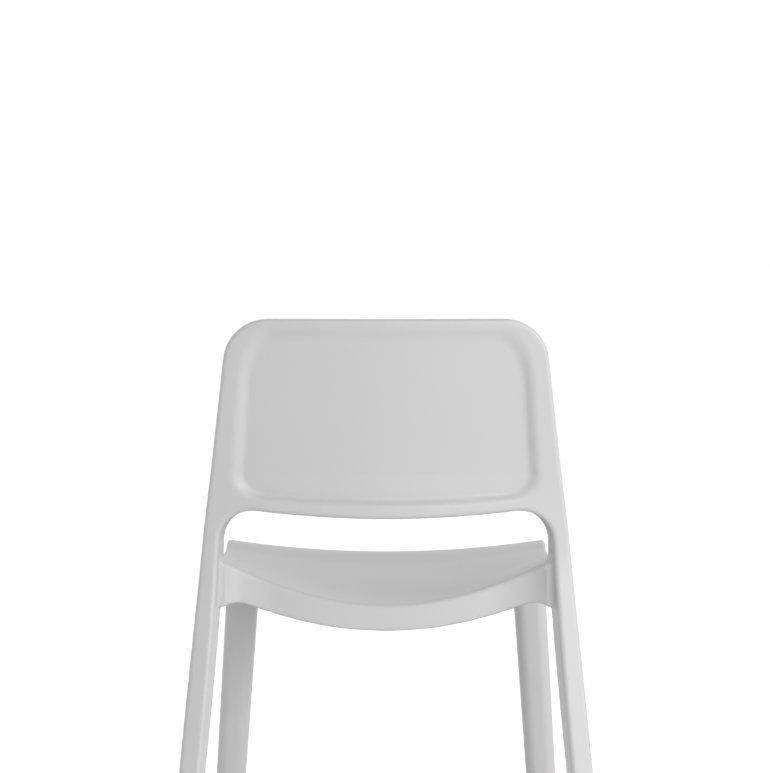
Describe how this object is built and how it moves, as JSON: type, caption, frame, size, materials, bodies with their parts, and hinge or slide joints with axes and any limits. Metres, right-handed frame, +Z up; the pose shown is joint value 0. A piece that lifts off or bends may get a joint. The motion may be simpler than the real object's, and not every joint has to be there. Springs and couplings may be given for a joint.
{
  "type": "stacking chair",
  "caption": "One-piece moulded stacking chair with a recessed backrest panel, an open gap above a dished seat and plugged, padded feet.",
  "frame": {"origin": "on the floor, under the centre of the chair's bounding box", "axes": "+Z up, -Y the way the sitter faces, +X the sitter's left"},
  "size_m": [0.542, 0.5226, 0.788],
  "materials": {
    "shell_plastic": "light grey-white glass-filled polypropylene, fine satin mould texture",
    "plug_plastic": "pale grey moulded nylon",
    "pad_rubber": "grey soft elastomer",
    "bumper_rubber": "translucent-looking pale grey elastomer"
  },
  "bodies": {
    "root": {"moulded_body": "shell_plastic", "foot_plug_front_left": "plug_plastic", "glide_pad_front_left": "pad_rubber", "stacking_bumper_front_left": "bumper_rubber", "foot_plug_front_right": "plug_plastic", "glide_pad_front_right": "pad_rubber", "stacking_bumper_front_right": "bumper_rubber", "foot_plug_rear_left": "plug_plastic", "glide_pad_rear_left": "pad_rubber", "stacking_bumper_rear_left": "bumper_rubber", "foot_plug_rear_right": "plug_plastic", "glide_pad_rear_right": "pad_rubber", "stacking_bumper_rear_right": "bumper_rubber"}
  },
  "joints": []
}
